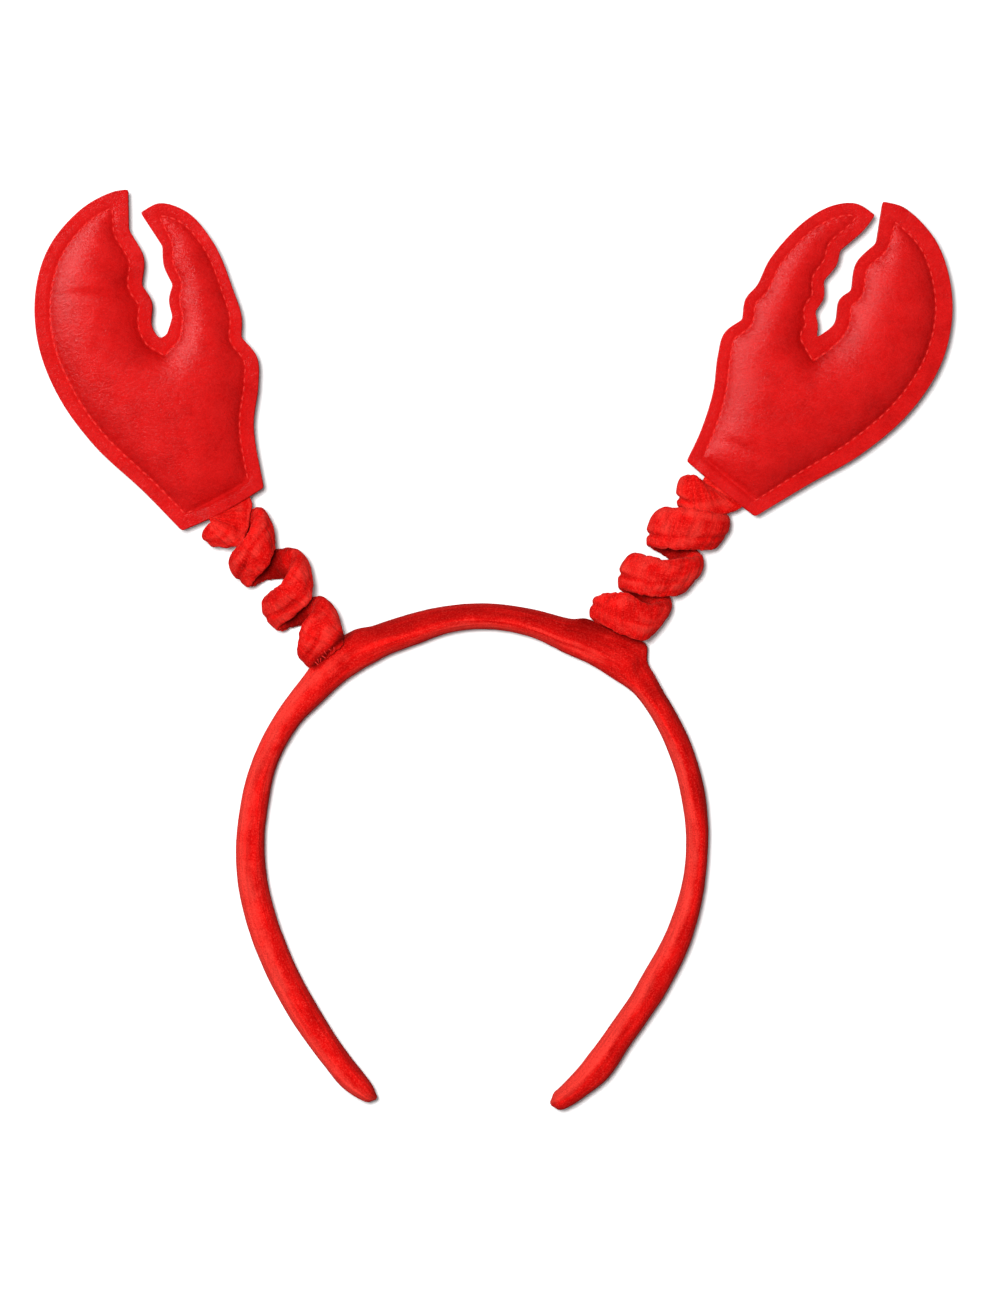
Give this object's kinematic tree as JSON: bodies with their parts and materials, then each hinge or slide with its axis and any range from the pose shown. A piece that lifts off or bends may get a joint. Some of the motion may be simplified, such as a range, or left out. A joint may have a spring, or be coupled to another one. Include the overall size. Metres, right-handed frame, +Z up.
{
  "type": "crab claw headband",
  "caption": "Costume headband with a velour-covered C-shaped band and stuffed crab claws standing off it on coil springs in velour sleeves.",
  "frame": {"origin": "middle of the plan's bounding box, on the surface that the headband lies on", "axes": "+Z up, square to the band's plane; +Y from the open ends of the band to the claws; +X to the right as seen from above, with the front faces of the claws up"},
  "size_m": [0.2752, 0.2762, 0.0167],
  "materials": {
    "velour": "crushed velour, short dense pile with a fine speckled sheen",
    "claw_cloth": "soft napped cloth with a pinkish satin sheen on the slopes",
    "filling": "white fibre stuffing, out of sight"
  },
  "bodies": {
    "root": {"headband": "velour", "spring_sleeve_left": "velour", "spring_sleeve_right": "velour", "claw_left_front_panel": "claw_cloth", "claw_left_back_panel": "claw_cloth", "claw_left_filling": "filling", "claw_right_front_panel": "claw_cloth", "claw_right_back_panel": "claw_cloth", "claw_right_filling": "filling"}
  },
  "joints": []
}
